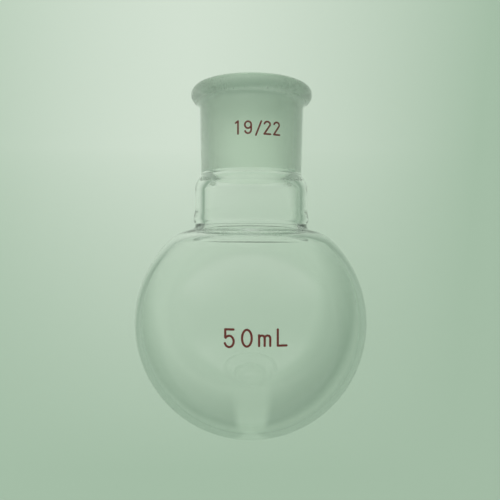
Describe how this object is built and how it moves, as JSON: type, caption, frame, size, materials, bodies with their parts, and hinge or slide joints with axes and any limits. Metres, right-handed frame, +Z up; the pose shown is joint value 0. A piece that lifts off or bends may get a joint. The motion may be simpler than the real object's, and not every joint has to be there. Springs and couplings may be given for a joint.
{
  "type": "round-bottom flask",
  "caption": "Small round-bottom laboratory flask of clear blown glass, with a short neck and a frosted conical ground socket with a beaded mouth; it lies on its side.",
  "frame": {"origin": "On the floor below the middle of the lying flask, the bottom centre of its bounding box.", "axes": "+Z is up from the floor. +Y runs along the flask from the bulb to the mouth, which dips 14 degrees. +X is to the right when the flask is seen from above with its mouth at the top."},
  "size_m": [0.051, 0.0788, 0.051],
  "materials": {
    "glass": "clear fire-polished blown glass, with the inside of the socket finely ground to a matt cone",
    "size_marks": "thin fired enamel figures in dull red-brown"
  },
  "bodies": {
    "root": {"flask": "glass"}
  },
  "joints": []
}
